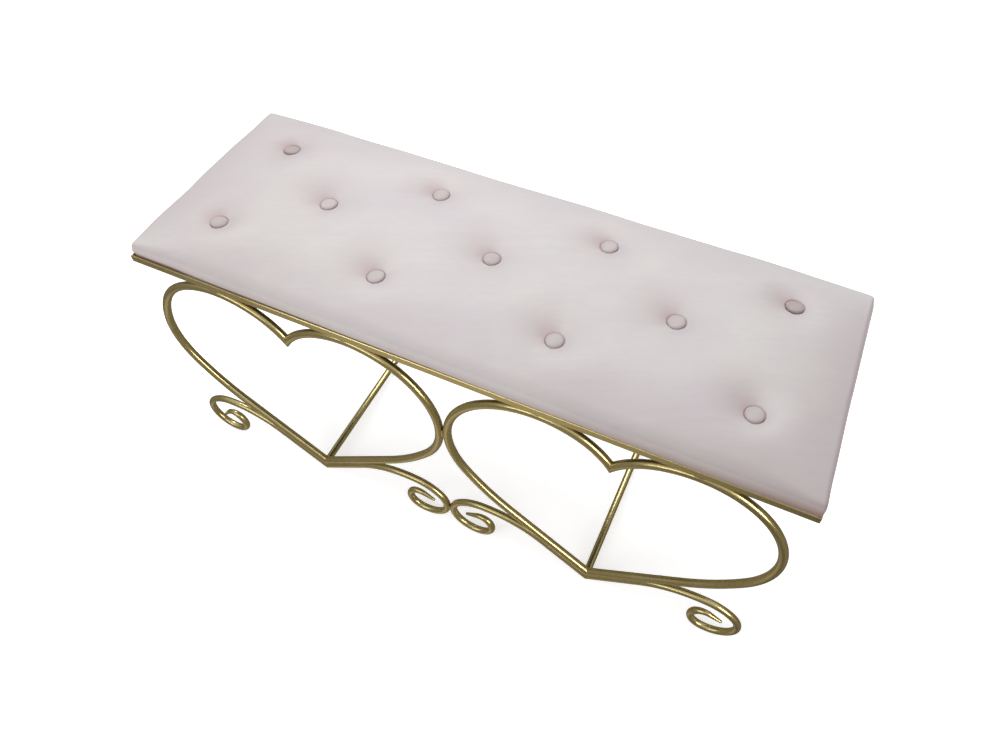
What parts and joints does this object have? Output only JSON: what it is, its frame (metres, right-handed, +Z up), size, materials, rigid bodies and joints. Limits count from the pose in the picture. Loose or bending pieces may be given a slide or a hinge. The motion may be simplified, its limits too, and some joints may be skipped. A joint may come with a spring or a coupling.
{
  "type": "upholstered bench",
  "caption": "Long low bench: a button-tufted velvet pad set in a slim gold metal frame, standing on paired bent-tube hearts with scrolled feet and low cross stretchers.",
  "frame": {"origin": "on the floor under the middle of the bench", "axes": "+X along the bench's length to its right end as seen from the front, +Y to its back, +Z up"},
  "size_m": [1, 0.358, 0.4815],
  "materials": {
    "gold_paint": "satin gold paint over steel",
    "velvet": "short pile velvet, pale blush",
    "plywood": "bare plywood",
    "foam": "cut foam",
    "dust_cloth": "thin non-woven cloth",
    "twine": "waxed twine",
    "bright_wire": "zinc plated"
  },
  "bodies": {
    "root": {"front_rail": "gold_paint", "back_rail": "gold_paint", "left_rail": "gold_paint", "right_rail": "gold_paint", "seat_straps": "gold_paint", "front_left_heart_left_half": "gold_paint", "front_left_heart_right_half": "gold_paint", "front_right_heart_left_half": "gold_paint", "front_right_heart_right_half": "gold_paint", "back_left_heart_left_half": "gold_paint", "back_left_heart_right_half": "gold_paint", "back_right_heart_left_half": "gold_paint", "back_right_heart_right_half": "gold_paint", "front_left_scroll_left": "gold_paint", "front_left_scroll_right": "gold_paint", "front_right_scroll_left": "gold_paint", "front_right_scroll_right": "gold_paint", "back_left_scroll_left": "gold_paint", "back_left_scroll_right": "gold_paint", "back_right_scroll_left": "gold_paint", "back_right_scroll_right": "gold_paint", "left_stretcher": "gold_paint", "right_stretcher": "gold_paint", "seat_board": "plywood", "foam_pad": "foam", "velvet_cover": "velvet", "dust_cloth": "dust_cloth", "tuft_buttons": "velvet", "button_shanks": "bright_wire", "tuft_twine": "twine", "twine_anchors": "bright_wire", "strap_screws": "bright_wire", "strap_washers": "bright_wire"}
  },
  "joints": []
}
